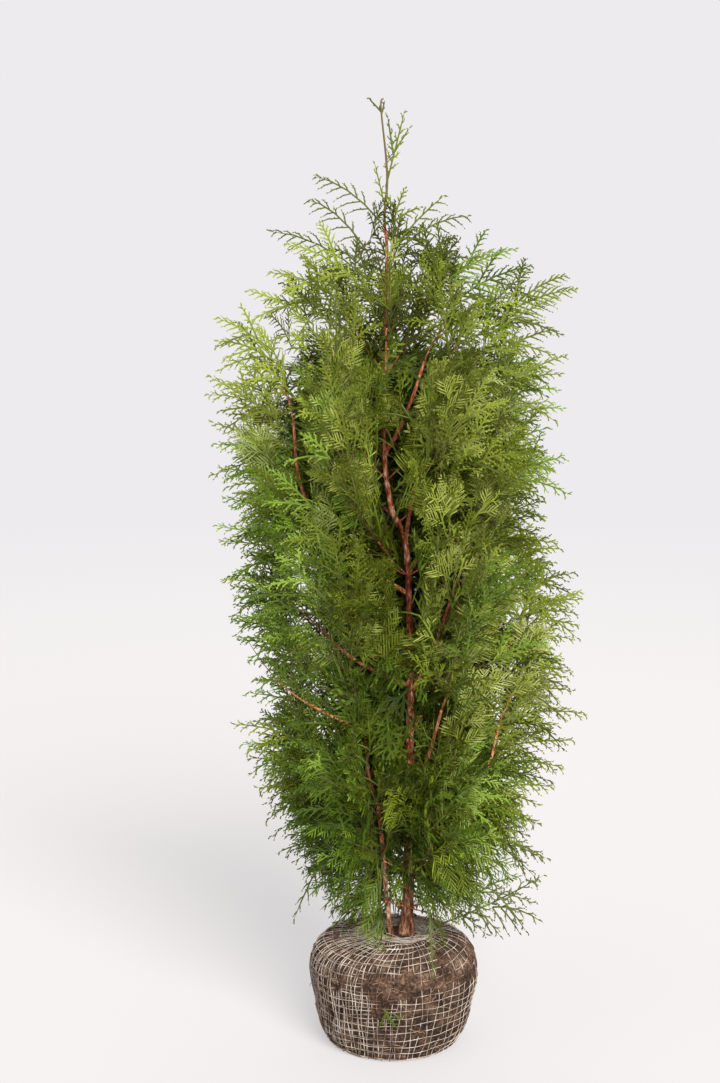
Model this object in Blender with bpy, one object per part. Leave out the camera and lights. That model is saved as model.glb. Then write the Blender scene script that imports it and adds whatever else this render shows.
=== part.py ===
"""Young thuja lifted with its root ball, which is wrapped in sacking and net.

The frame is in metres with +Z up.  The origin is the middle of the root ball's
flat underside, +X is the plant's right and -Y its front.  Azimuths are degrees
anticlockwise from +X seen from above, so the front is at 270.

The root ball carries one leading trunk and a second, thinner stem beside it.
Boughs leave the trunk and end in the masses of foliage that they carry.  The
masses stand in tiers, one to each sector of a tier, every mass a plume that
widens round its own line and narrows to its tip on the crown's outline.
"""

import math

import bmesh
import bpy
import numpy as np
from mathutils import Vector, noise

# ---------------------------------------------------------------- clearances
GAP = 0.0004  # left between solids that touch on the plant
MASS_GAP = 0.003  # half of the open seam between two masses
SEED = 11

# ----------------------------------------------------------------- root ball
BALL_TOP = 0.182
# (radius, height) from the middle of the underside to the middle of the top
BALL_PROFILE = (
    (0.000, 0.000),
    (0.098, 0.000),
    (0.115, 0.016),
    (0.125, 0.042),
    (0.132, 0.074),
    (0.138, 0.106),
    (0.139, 0.134),
    (0.130, 0.158),
    (0.108, 0.174),
    (0.062, BALL_TOP),
    (0.000, BALL_TOP),
)
BALL_SIDES = 18
BALL_UNEVEN = 0.035  # share of the radius

# --------------------------------------------------------------------- stems
TRUNK_LINE = (
    (0.022, 0.000, BALL_TOP + GAP),
    (0.026, 0.000, 0.300),
    (0.026, 0.002, 0.450),
    (0.026, 0.002, 0.660),
    (0.020, 0.000, 0.830),
    (0.010, -0.002, 0.880),
    (-0.006, -0.002, 0.915),
    (-0.018, 0.001, 1.010),
    (-0.016, 0.002, 1.150),
    (-0.014, 0.000, 1.320),
    (-0.018, -0.001, 1.380),
    (-0.014, 0.000, 1.450),
    (-0.024, 0.000, 1.552),
    (-0.020, 0.000, 1.566),
)
TRUNK_FOOT_RADIUS = 0.0102
TRUNK_TIP_RADIUS = 0.0012
FLARE = 0.0052  # what the root flare adds to the radius at the foot
FLARE_HEIGHT = 0.018  # over which most of the flare dies away
SIDE_STEM_LINE = (
    (-0.004, -0.016, BALL_TOP + GAP),
    (-0.012, -0.022, 0.250),
    (-0.018, -0.026, 0.330),
    (-0.027, -0.030, 0.415),
    (-0.041, -0.034, 0.462),
    (-0.048, -0.038, 0.530),
)
SIDE_STEM_RADII = (0.0050, 0.0030)

# -------------------------------------------------------------------- boughs
# The mass that a bough carries, and the bough's line from inside the trunk.
BOUGHS = {
    "middle_right": ((0.026, 0.002, 0.350), (0.090, -0.026, 0.410), (0.150, -0.040, 0.480), (0.172, -0.042, 0.560)),
    "chest_right": ((0.026, 0.002, 0.600), (0.060, -0.016, 0.670), (0.084, -0.028, 0.745), (0.102, -0.030, 0.800)),
    "middle_front_right": ((0.026, 0.002, 0.430), (0.044, -0.030, 0.470), (0.060, -0.052, 0.525), (0.076, -0.062, 0.590)),
    "shoulder_front_right": ((0.016, 0.000, 0.850), (0.021, -0.012, 0.890), (0.025, -0.030, 0.920), (0.032, -0.044, 0.950)),
    "chest_left": ((0.026, 0.002, 0.615), (-0.020, -0.020, 0.638), (-0.075, -0.040, 0.676), (-0.112, -0.044, 0.712)),
    "middle_left": ((0.026, 0.002, 0.480), (-0.050, -0.024, 0.540), (-0.110, -0.034, 0.575), (-0.140, -0.034, 0.592)),
    "upper_left": ((0.022, 0.002, 0.770), (-0.090, -0.026, 0.850), (-0.150, -0.036, 0.950), (-0.164, -0.036, 1.060)),
    "upper_right": ((-0.018, 0.001, 1.000), (0.004, -0.014, 1.040), (0.028, -0.022, 1.100), (0.046, -0.022, 1.155)),
    "middle_back_right": ((0.026, 0.002, 0.530), (0.052, 0.038, 0.565), (0.078, 0.076, 0.605)),
    "shoulder_back_left": ((0.006, 0.000, 0.890), (-0.030, 0.034, 0.925), (-0.062, 0.068, 0.965)),
}
BOUGH_RADII = (0.0040, 0.0022)  # at the trunk and where the mass begins
SOCKET = 0.010  # how far a bough reaches into its mass

# --------------------------------------------------------------------- crown
# How far the crown's tips reach to the left and the right of the origin.
OUTLINE_HEIGHTS = (0.19, 0.25, 0.30, 0.40, 0.50, 0.55, 0.62, 0.72, 0.80, 0.90, 1.05, 1.15, 1.25, 1.30, 1.36, 1.42, 1.45)
LEFT_REACH = (0.110, 0.135, 0.178, 0.225, 0.253, 0.282, 0.245, 0.262, 0.294, 0.310, 0.316, 0.302, 0.272, 0.205, 0.165, 0.150, 0.136)
RIGHT_REACH = (0.170, 0.240, 0.256, 0.252, 0.300, 0.332, 0.312, 0.318, 0.318, 0.268, 0.277, 0.285, 0.275, 0.270, 0.140, 0.090, 0.060)
DEPTH_SHARE = 0.86  # of the mean reach, towards the front and the back

FIVE_SECTORS = {"right": 3, "back": 92, "left": 184, "front_left": 234, "front_right": 309}
SIX_SECTORS = {"right": -5, "back_right": 50, "back_left": 127, "left": 176, "front_left": 241, "front_right": 299}
FOUR_SECTORS = {"right": 8, "back": 97, "left": 172, "front": 262}
# name, height of the inner end, height of the tips, girth, lift, sectors
TIERS = (
    ("skirt", 0.228, 0.275, 0.062, 0.75, FIVE_SECTORS),
    ("low", 0.290, 0.430, 0.092, 0.45, SIX_SECTORS),
    ("waist", 0.385, 0.555, 0.096, 0.42, FIVE_SECTORS),
    ("middle", 0.500, 0.735, 0.102, 0.38, SIX_SECTORS),
    ("chest", 0.640, 0.900, 0.104, 0.38, FIVE_SECTORS),
    ("shoulder", 0.800, 1.075, 0.102, 0.36, SIX_SECTORS),
    ("breast", 0.890, 1.160, 0.084, 0.40, {"right": 3}),
    ("upper", 0.960, 1.260, 0.092, 0.34, FIVE_SECTORS),
    ("crown", 1.130, 1.385, 0.066, 0.40, FOUR_SECTORS),
)
TIP_STAGGER = 0.030  # how much the tips of one tier differ in height
SIDE_HEIGHTS = {  # heights of the inner end and the tip, for masses on the crown's two sides
    "middle_right": (0.500, 0.725),
    "chest_right": (0.640, 0.835),
    "shoulder_left": (0.800, 1.090),
    "shoulder_right": (0.800, 1.050),
    "upper_right": (0.960, 1.270),
    "upper_left": (0.960, 1.235),
}
# The last sprays beside the leading shoot: inner end, bend, tip and girth.
TOP_SPRAYS = {
    "top_left_arch": ((-0.016, 0.001, 1.345), (-0.085, -0.006, 1.475), (-0.143, -0.010, 1.418), 0.024),
    "top_right_arch": ((-0.016, 0.000, 1.325), (0.045, 0.004, 1.440), (0.098, 0.006, 1.385), 0.030),
    "leader_spray": ((-0.015, 0.000, 1.440), (0.012, -0.002, 1.490), (0.026, -0.004, 1.552), 0.015),
}

MASS_SIDES = 9
MASS_RINGS = 8
MASS_UNEVEN = 0.24  # share of the girth
MASS_WIDE = 1.12  # width against girth, sideways
MASS_DEEP = 0.94  # and along the way that the mass faces
MASS_FULLEST = 1.12  # over 1 puts the widest ring nearer the tip
MASS_BLUNT = 0.70  # under 1 fills out the inner end and the tip
LOWEST_FOLIAGE = BALL_TOP + 0.006

LINE_STEPS = 24
RAY_STEPS = 28
NOISE_SCALE = 14.0  # lumps of about 70 mm


def clear_scene():
    for old in list(bpy.data.objects):
        bpy.data.objects.remove(old, do_unlink=True)


def new_collection(name, hidden=False):
    made = bpy.data.collections.new(name)
    bpy.context.scene.collection.children.link(made)
    made.hide_render = hidden
    return made


def new_material(name, colour, roughness):
    made = bpy.data.materials.new(name)
    made.use_nodes = True
    shader = made.node_tree.nodes["Principled BSDF"]
    shader.inputs["Base Color"].default_value = (*colour, 1.0)
    shader.inputs["Roughness"].default_value = roughness
    shader.inputs["Metallic"].default_value = 0.0
    return made


def curve_through(points, steps):
    """Catmull-Rom curve through the points, as steps + 1 points evenly spaced along it."""
    p = np.array(points, float)
    p = np.vstack([2 * p[0] - p[1], p, 2 * p[-1] - p[-2]])
    t = np.linspace(0, 1, 12, endpoint=False)[:, None]
    spans = []
    for a, b, c, d in zip(p, p[1:], p[2:], p[3:]):
        spans.append(0.5 * (2 * b + (c - a) * t + (2 * a - 5 * b + 4 * c - d) * t**2 + (3 * b - a - 3 * c + d) * t**3))
    fine = np.vstack([*spans, p[-2:-1]])
    return evenly(fine, steps)


def evenly(line, steps):
    """The same line with steps + 1 points at equal distances."""
    along = np.concatenate([[0], np.cumsum(np.linalg.norm(np.diff(line, axis=0), axis=1))])
    at = np.linspace(0, along[-1], steps + 1)
    return np.stack([np.interp(at, along, line[:, k]) for k in range(3)], axis=1)


def bend(start, middle, end, steps=LINE_STEPS):
    """Quadratic curve from start to end, drawn towards middle."""
    t = np.linspace(0, 1, 3 * steps)[:, None]
    line = (1 - t) ** 2 * np.array(start) + 2 * t * (1 - t) * np.array(middle) + t**2 * np.array(end)
    return evenly(line, steps)


def trunk_line():
    """The trunk's line from its flat foot to its tip, with close steps in the root flare."""
    foot, tip = TRUNK_LINE[0][2], TRUNK_LINE[-1][2]
    heights = np.concatenate([foot + np.array([0, 0.006, 0.014, 0.026]), np.linspace(foot + 0.045, tip, 22)])
    line = np.array([trunk_at(height) for height in heights])
    line[1, :2] = line[0, :2]
    return line


def trunk_at(height):
    line = curve_through(TRUNK_LINE, 60)
    return np.array([np.interp(height, line[:, 2], line[:, k]) for k in range(2)] + [height])


def trunk_radius(height):
    """Straight taper from the foot to the tip, with the root flare added at the foot."""
    share = (height - BALL_TOP) / (TRUNK_LINE[-1][2] - BALL_TOP)
    flare = FLARE * math.exp(-(height - BALL_TOP) / FLARE_HEIGHT)
    return TRUNK_FOOT_RADIUS + (TRUNK_TIP_RADIUS - TRUNK_FOOT_RADIUS) * share + flare


def tube(name, line, radii, collection, material=None):
    """Round limb along the line, made a mesh: a bevelled curve with its end caps welded on."""
    data = bpy.data.curves.new(name, "CURVE")
    data.dimensions = "3D"
    data.bevel_depth = 1.0
    data.bevel_resolution = 1
    data.use_fill_caps = True
    spline = data.splines.new("POLY")
    spline.points.add(len(line) - 1)
    for point, place, radius in zip(spline.points, line, radii):
        point.co = (*place, 1.0)
        point.radius = radius
    guide = bpy.data.objects.new(name + "_guide", data)
    collection.objects.link(guide)
    bpy.context.view_layer.update()
    mesh = bpy.data.meshes.new_from_object(guide.evaluated_get(bpy.context.evaluated_depsgraph_get()))
    made = bpy.data.objects.new(name, mesh)
    made.matrix_world = guide.matrix_world
    collection.objects.link(made)
    bpy.data.objects.remove(guide)
    shape = bmesh.new()
    shape.from_mesh(mesh)
    bmesh.ops.remove_doubles(shape, verts=shape.verts, dist=1e-5)
    bmesh.ops.recalc_face_normals(shape, faces=shape.faces)
    shape.to_mesh(mesh)
    shape.free()
    if material:
        mesh.materials.clear()
        mesh.materials.append(material)
    mesh.shade_smooth()
    mesh.set_sharp_from_angle(angle=math.radians(50))
    return made


def cut(piece, cutters):
    """One exact Boolean difference for each cutter."""
    for cutter in cutters:
        modifier = piece.modifiers.new("clear_of_" + cutter.name, "BOOLEAN")
        modifier.operation = "DIFFERENCE"
        modifier.solver = "EXACT"
        modifier.object = cutter


def box_of(points, margin=0.0):
    points = np.asarray(points)
    return points.min(axis=0) - margin, points.max(axis=0) + margin


def boxes_meet(a, b):
    return bool((a[0] <= b[1]).all() and (b[0] <= a[1]).all())


def turned_sphere(name, sides, rings):
    """A UV sphere's mesh, with each vertex's share of the way from pole to pole and its turn round the axis."""
    shape = bmesh.new()
    bmesh.ops.create_uvsphere(shape, u_segments=sides, v_segments=rings, radius=1.0)
    bmesh.ops.triangulate(shape, faces=shape.faces)
    places = [v.co.copy() for v in shape.verts]
    way = np.array([math.acos(max(-1.0, min(1.0, -p.z))) / math.pi for p in places])
    turn = np.array([math.atan2(p.y, p.x) for p in places])
    mesh = bpy.data.meshes.new(name)
    shape.to_mesh(mesh)
    shape.free()
    return mesh, way, turn


def place_vertices(mesh, points):
    mesh.vertices.foreach_set("co", np.asarray(points, np.float32).ravel())
    mesh.update()
    shape = bmesh.new()
    shape.from_mesh(mesh)
    bmesh.ops.recalc_face_normals(shape, faces=shape.faces)
    shape.to_mesh(mesh)
    shape.free()


def make_root_ball(collection, material):
    """Turned profile with an uneven side, flat below and in the middle of the top."""
    rings = len(BALL_PROFILE) - 1
    mesh, way, turn = turned_sphere("root_ball", BALL_SIDES, rings)
    ring = np.rint(way * rings).astype(int)
    profile = np.array(BALL_PROFILE)
    radius, height = profile[ring, 0], profile[ring, 1]
    swell = [noise.noise(Vector((3 * math.cos(a), 3 * math.sin(a), 9 * z))) for a, z in zip(turn, height)]
    on_side = (ring > 1) & (ring < rings - 1)
    radius = radius * (1 + BALL_UNEVEN * np.array(swell) * on_side)
    place_vertices(mesh, np.stack([radius * np.cos(turn), radius * np.sin(turn), height], axis=1))
    mesh.materials.append(material)
    mesh.shade_smooth()
    mesh.set_sharp_from_angle(angle=math.radians(50))
    ball = bpy.data.objects.new("root_ball", mesh)
    collection.objects.link(ball)
    return ball


def reach(azimuth, height):
    """The crown's reach at this height: an ellipse between the side outlines and the depth."""
    left = np.interp(height, OUTLINE_HEIGHTS, LEFT_REACH)
    right = np.interp(height, OUTLINE_HEIGHTS, RIGHT_REACH)
    side = right if math.cos(azimuth) > 0 else left
    deep = DEPTH_SHARE * (left + right) / 2
    return 1 / math.hypot(math.cos(azimuth) / side, math.sin(azimuth) / deep)


def plume_lines():
    """Each mass's own line from its inner end to its tip, with its girth."""
    rng = np.random.default_rng(SEED)
    lines = {}
    for tier, foot, tip, girth, lift, sectors in TIERS:
        for sector, degrees in sectors.items():
            name = f"{tier}_{sector}"
            azimuth = math.radians(degrees + rng.uniform(-4, 4))
            stagger = rng.uniform(-1, 1) * TIP_STAGGER if sector not in ("left", "right") else 0
            foot_height, tip_height = SIDE_HEIGHTS.get(name, (foot, tip + stagger))
            far = reach(azimuth, tip_height)
            end = np.array([far * math.cos(azimuth), far * math.sin(azimuth), tip_height])
            if name in BOUGHS or name == "middle_front_left":
                bough = BOUGHS.get(name, SIDE_STEM_LINE)
                start = np.array(bough[-1], float)
                heading = start - np.array(bough[-2])
                middle = start + heading / np.linalg.norm(heading) * np.linalg.norm(end - start) * 0.45
            else:
                start = trunk_at(foot_height)
                middle = start + (end - start) * np.array([0.55, 0.55, lift])
            lines[name] = (bend(start, middle, end), girth)
    for name, (start, middle, end, girth) in TOP_SPRAYS.items():
        lines[name] = (bend(start, middle, end), girth)
    return lines


def plume_points(name, way, turn, lines):
    """Vertices of a mass: rings round its line, lumpy, and held off the neighbouring lines."""
    line, girth = lines[name]
    share = way * LINE_STEPS
    centre = np.stack([np.interp(share, np.arange(LINE_STEPS + 1), line[:, k]) for k in range(3)], axis=1)
    heading = np.gradient(line, axis=0)
    heading = np.stack([np.interp(share, np.arange(LINE_STEPS + 1), heading[:, k]) for k in range(3)], axis=1)
    heading /= np.linalg.norm(heading, axis=1)[:, None]
    side = np.cross(heading, [0.0, 0.0, 1.0])
    side /= np.linalg.norm(side, axis=1)[:, None]
    rise = np.cross(side, heading)
    out = MASS_WIDE * np.cos(turn)[:, None] * side + MASS_DEEP * np.sin(turn)[:, None] * rise
    radius = girth * np.sin(np.pi * way**MASS_FULLEST).clip(0) ** MASS_BLUNT
    lump = [noise.noise(Vector(c + o * girth) * NOISE_SCALE) for c, o in zip(centre, out)]
    radius *= 1 + MASS_UNEVEN * 2 * np.array(lump)
    radius = np.minimum(radius, free_radius(name, centre, out, radius, lines))
    points = centre + out * radius[:, None]
    points[:, 2] = np.maximum(points[:, 2], LOWEST_FOLIAGE)
    if name not in TOP_SPRAYS:
        far = np.hypot(points[:, 0], points[:, 1])
        limit = np.array([reach(math.atan2(y, x), z) for x, y, z in points])
        points[:, :2] *= np.minimum(1, limit / far.clip(1e-6))[:, None]
    return points


def free_radius(name, centre, out, wanted, lines):
    """How far each vertex may go before it is nearer, for its girth, to another mass's line."""
    own_line, own_girth = lines[name]
    others = [(line[2:], girth) for other, (line, girth) in lines.items() if other != name]
    shares = np.linspace(0, 1, RAY_STEPS + 1)
    rays = centre[:, None] + out[:, None] * (wanted[:, None] * shares)[..., None]
    own = np.linalg.norm(rays[:, :, None] - own_line[None, None], axis=-1).min(axis=-1)
    nearest = np.full(own.shape, np.inf)
    for line, girth in others:
        away = np.linalg.norm(rays[:, :, None] - line[None, None], axis=-1).min(axis=-1)
        nearest = np.minimum(nearest, away / girth)
    spare = (nearest - own / own_girth) * own_girth / 2 - MASS_GAP
    free = np.full(len(centre), np.inf)
    for k in range(len(centre)):
        crossed = np.nonzero(spare[k] < 0)[0]
        if len(crossed):
            first = crossed[0]
            part = 0.0 if first == 0 else spare[k, first - 1] / (spare[k, first - 1] - spare[k, first])
            free[k] = wanted[k] * max(first - 1 + part, 0.15) / RAY_STEPS
    return free


def make_masses(collection, material, limbs):
    """Every mass, with its socket round whatever limb runs through it."""
    lines = plume_lines()
    for name in lines:
        mesh, way, turn = turned_sphere(name, MASS_SIDES, MASS_RINGS)
        points = plume_points(name, way, turn, lines)
        place_vertices(mesh, points)
        mesh.materials.append(material)
        mass = bpy.data.objects.new("foliage_" + name, mesh)
        collection.objects.link(mass)
        box = box_of(points)
        cut(mass, [limb for limb, limb_box in limbs if boxes_meet(box, limb_box)])


def make_limbs(collection, cutters, material):
    """Trunk, side stem and boughs.  Returns each limb's cutter, a gap larger all round, with its box."""
    line, side_line = trunk_line(), curve_through(SIDE_STEM_LINE, 12)
    side_line[1, :2] = side_line[0, :2]  # upright at the foot, so that its cut is level
    stems = {
        "trunk": (line, np.array([trunk_radius(z) for z in line[:, 2]])),
        "side_stem": (side_line, np.linspace(*SIDE_STEM_RADII, 13)),
    }
    boughs = {}
    for mass, points in BOUGHS.items():
        bough = curve_through(points, 8)
        heading = (bough[-1] - bough[-2]) / np.linalg.norm(bough[-1] - bough[-2])
        bough[-1] += heading * SOCKET
        boughs["bough_" + mass] = (bough, np.linspace(*BOUGH_RADII, 9))
    found = []
    for name, (limb_line, radii) in (stems | boughs).items():
        limb = tube(name, limb_line, radii, collection, material)
        longer = limb_line.copy()
        longer[-1] += (limb_line[-1] - limb_line[-2]) / np.linalg.norm(limb_line[-1] - limb_line[-2]) * GAP
        cutter = tube("cutter_" + name, longer, radii + GAP, cutters)
        cutter.hide_render = True
        cutter.display_type = "WIRE"
        found.append((cutter, box_of(longer, radii.max() + GAP)))
        if name in boughs:
            cut(limb, [found[0][0]])
    return found


def main():
    clear_scene()
    plant = new_collection("root_balled_thuja")
    cutters = new_collection("cutters", hidden=True)
    bark = new_material("reddish_bark", (0.33, 0.17, 0.10), 0.85)
    foliage = new_material("scale_foliage", (0.13, 0.25, 0.05), 0.60)
    wrapped_soil = new_material("soil_in_sacking", (0.16, 0.11, 0.08), 0.95)
    make_root_ball(plant, wrapped_soil)
    limbs = make_limbs(plant, cutters, bark)
    make_masses(plant, foliage, limbs)


main()
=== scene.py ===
"""Looks of a young thuja that stands on its netted root ball.

The row's frame: +Z up, -Y the front, +X to the right of someone who faces it.  Lengths are in metres, and
points in tables in millimetres.  Azimuths run anticlockwise from +X, in degrees in tables, else in radians.
"""

import itertools
import math

import bmesh
import bpy
import numpy as np
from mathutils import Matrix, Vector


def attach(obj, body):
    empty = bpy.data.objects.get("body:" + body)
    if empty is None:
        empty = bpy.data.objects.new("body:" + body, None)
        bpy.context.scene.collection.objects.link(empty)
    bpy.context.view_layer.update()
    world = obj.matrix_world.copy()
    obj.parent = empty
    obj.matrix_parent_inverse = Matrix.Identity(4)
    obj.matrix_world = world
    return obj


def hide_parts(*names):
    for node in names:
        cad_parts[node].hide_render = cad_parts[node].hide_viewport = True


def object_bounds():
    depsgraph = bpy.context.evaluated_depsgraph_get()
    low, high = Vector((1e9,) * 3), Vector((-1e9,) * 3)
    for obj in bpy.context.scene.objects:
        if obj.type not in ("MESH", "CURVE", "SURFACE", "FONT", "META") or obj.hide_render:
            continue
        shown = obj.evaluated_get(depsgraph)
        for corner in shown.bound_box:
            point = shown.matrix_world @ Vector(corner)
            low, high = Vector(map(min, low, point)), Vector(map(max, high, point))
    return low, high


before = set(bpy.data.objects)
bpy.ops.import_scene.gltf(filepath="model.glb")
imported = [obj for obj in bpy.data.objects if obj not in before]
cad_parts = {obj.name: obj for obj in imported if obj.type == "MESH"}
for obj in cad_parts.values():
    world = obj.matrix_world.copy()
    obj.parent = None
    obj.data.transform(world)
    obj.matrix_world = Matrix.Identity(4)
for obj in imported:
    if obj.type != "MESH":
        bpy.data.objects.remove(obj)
CAD_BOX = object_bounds()

UP = np.array([0.0, 0.0, 1.0])


def mm(lengths):
    """Lengths in metres from a table in millimetres."""
    return np.array(lengths) / 1000


# ---- skeleton
# The ball's radius and height, from the middle of its underside to the middle of its top.
BALL_TOP = 0.182
BALL_PROFILE = (
    (0, 0), (98, 0), (115, 16), (125, 42), (132, 74), (138, 106), (139, 134), (130, 158), (108, 174),
    (62, 182), (0, 182),
)
TRUNK_LINE = (
    (22, 0, 182.4), (26, 0, 300), (26, 2, 450), (26, 2, 660), (20, 0, 830), (10, -2, 880), (-6, -2, 915),
    (-18, 1, 1010), (-16, 2, 1150), (-14, 0, 1320), (-18, -1, 1380), (-14, 0, 1450), (-24, 0, 1552),
    (-20, 0, 1566),
)
# Radius at the foot and at the tip, then how far the root flare stands out and how high it reaches.
TRUNK_RADII = (0.0102, 0.0012)
FLARE, FLARE_HEIGHT = 0.0052, 0.018
SIDE_STEM_LINE = (
    (-4, -16, 182.4), (-12, -22, 250), (-18, -26, 330), (-27, -30, 415), (-41, -34, 462), (-48, -38, 530),
)
BOUGHS = {
    "middle_right": ((26, 2, 350), (90, -26, 410), (150, -40, 480), (172, -42, 560)),
    "chest_right": ((26, 2, 600), (60, -16, 670), (84, -28, 745), (102, -30, 800)),
    "middle_front_right": ((26, 2, 430), (44, -30, 470), (60, -52, 525), (76, -62, 590)),
    "shoulder_front_right": ((16, 0, 850), (21, -12, 890), (25, -30, 920), (32, -44, 950)),
    "chest_left": ((26, 2, 615), (-20, -20, 638), (-75, -40, 676), (-112, -44, 712)),
    "middle_left": ((26, 2, 480), (-50, -24, 540), (-110, -34, 575), (-140, -34, 592)),
    "upper_left": ((22, 2, 770), (-90, -26, 850), (-150, -36, 950), (-164, -36, 1060)),
    "upper_right": ((-18, 1, 1000), (4, -14, 1040), (28, -22, 1100), (46, -22, 1155)),
    "middle_back_right": ((26, 2, 530), (52, 38, 565), (78, 76, 605)),
    "shoulder_back_left": ((6, 0, 890), (-30, 34, 925), (-62, 68, 965)),
}

# The crown's outline by height: its reach to the left and to the right, and that of its dense body.
OUTLINE = (
    (190, 110, 170, 50, 45), (250, 135, 240, 65, 65), (300, 178, 256, 85, 100), (400, 225, 252, 120, 150),
    (500, 253, 300, 170, 178), (550, 282, 332, 155, 205), (620, 245, 312, 185, 235),
    (720, 262, 318, 200, 245), (800, 294, 318, 200, 225), (900, 310, 268, 208, 180),
    (1050, 316, 277, 245, 200), (1150, 302, 285, 205, 185), (1250, 272, 275, 135, 115),
    (1300, 205, 270, 85, 65), (1360, 165, 140, 35, 28), (1420, 150, 90, 12, 12), (1450, 136, 60, 12, 12),
)
OUTLINE_HEIGHTS, LEFT_REACH, RIGHT_REACH, BODY_LEFT, BODY_RIGHT = mm(OUTLINE).T
DEPTH_SHARE = 0.86

FIVE_SECTORS = {"right": 3, "back": 92, "left": 184, "front_left": 234, "front_right": 309}
SIX_SECTORS = {
    "right": -5, "back_right": 50, "back_left": 127, "left": 176, "front_left": 241, "front_right": 299
}
FOUR_SECTORS = {"right": 8, "back": 97, "left": 172, "front": 262}
# Each tier's masses: heights of their foot and tip, girth, lift of their line's middle, and azimuths.
TIERS = (
    ("skirt", 0.228, 0.275, 0.062, 0.75, FIVE_SECTORS),
    ("low", 0.290, 0.430, 0.092, 0.45, SIX_SECTORS),
    ("waist", 0.385, 0.555, 0.096, 0.42, FIVE_SECTORS),
    ("middle", 0.500, 0.735, 0.102, 0.38, SIX_SECTORS),
    ("chest", 0.640, 0.900, 0.104, 0.38, FIVE_SECTORS),
    ("shoulder", 0.800, 1.075, 0.102, 0.36, SIX_SECTORS),
    ("breast", 0.890, 1.160, 0.084, 0.40, {"right": 3}),
    ("upper", 0.960, 1.260, 0.092, 0.34, FIVE_SECTORS),
    ("crown", 1.130, 1.385, 0.066, 0.40, FOUR_SECTORS),
)
TIP_STAGGER = 0.03
# Foot and tip of the masses at the sides that stand apart from their tier.
SIDE_HEIGHTS = {
    "middle_right": (0.5, 0.725), "chest_right": (0.64, 0.835), "shoulder_left": (0.8, 1.09),
    "shoulder_right": (0.8, 1.05), "upper_right": (0.96, 1.27), "upper_left": (0.96, 1.235),
}
TOP_MASSES = ("top_left_arch", "top_right_arch", "leader_spray")
MASS_SEED = 11

# ---- foliage
# Leaf colours from dark to light, each as a yellower and a greener one: one leaf colour at steps of painted
# shade and painted light.
LEAF_LIGHT_AND_SHADE_TINTS = (
    "#40490D", "#3A4B10", "#586214", "#506617", "#738125", "#6A8428",
    "#868F40", "#7F9141", "#969D58", "#909D59",
)
LEAF_WIDTH, SHORTEST_LEAF = 0.0021, 0.0018
# Share of a shoot, from its base, that bears nothing.
BARE_SHARE = 0.08
# What sets the kinds of spray apart.  Branchlets stand on alternate sides of a spray, a gap apart.  The
# longest is this share of it, and they bend towards its tip and fall.  Leafy strips stand on branchlets in
# the same way: their width is a multiple of LEAF_WIDTH, and they grow so much longer than the shortest.
TRAITS = ("gap", "leaf_gap", "longest", "bend", "fall", "leaf_width", "leaf_growth", "leaf_fall")
KINDS = {
    "full": (0.0160, 0.0032, 0.47, 0.42, 0.40, 1.05, 0.0240, 0.10),
    "wispy": (0.0110, 0.0048, 0.26, 0.20, 0.90, 1.10, 0.0012, 0.30),
    "fan": (0.0092, 0.0046, 0.26, 0.30, 0.60, 1.10, 0.0048, 0.15),
    "plume": (0.0072, 0.0046, 0.24, 0.25, 0.55, 1.22, 0.0012, 0.10),
    "hanging": (0.0135, 0.0034, 0.44, 0.20, 0.70, 0.98, 0.0212, 0.70),
    "slim": (0.0090, 0.0052, 0.16, 0.35, 0.05, 1.10, 0.0040, 0.00),
    "inner": (0.0100, 0.0070, 0.50, 0.30, 0.30, 1.90, 0.0212, 0.12),
}
KIND_NAMES = list(KINDS)
SPRAY_SEED = 23
INNER_SPRAYS, BEND_SPRAYS = 1500, 200
# Sprays of the top: kind, base x and z, tip x and z, arch.
LEADER_SPRAYS = (
    ("slim", -16, 1393, -35, 1471, 0.0), ("slim", -16, 1430, 15, 1553, 0.0),
    ("slim", -2, 1484, 22, 1522, 0.1), ("slim", -4, 1478, -14, 1543, 0.0),
    ("slim", -23, 1545, -44, 1566, 0.1), ("slim", -22, 1545, -18, 1564, 0.0),
    ("wispy", -22, 1372, -132, 1446, 0.9), ("wispy", -50, 1335, -143, 1410, 1.0),
    ("wispy", -40, 1280, -203, 1360, 0.8), ("wispy", -14, 1320, 79, 1418, 0.4),
    ("wispy", 4, 1330, 121, 1384, 0.9), ("plume", 20, 1215, 154, 1329, 0.7),
    ("plume", 85, 1170, 215, 1300, 0.3), ("plume", 120, 1185, 290, 1268, 0.8),
)
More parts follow.
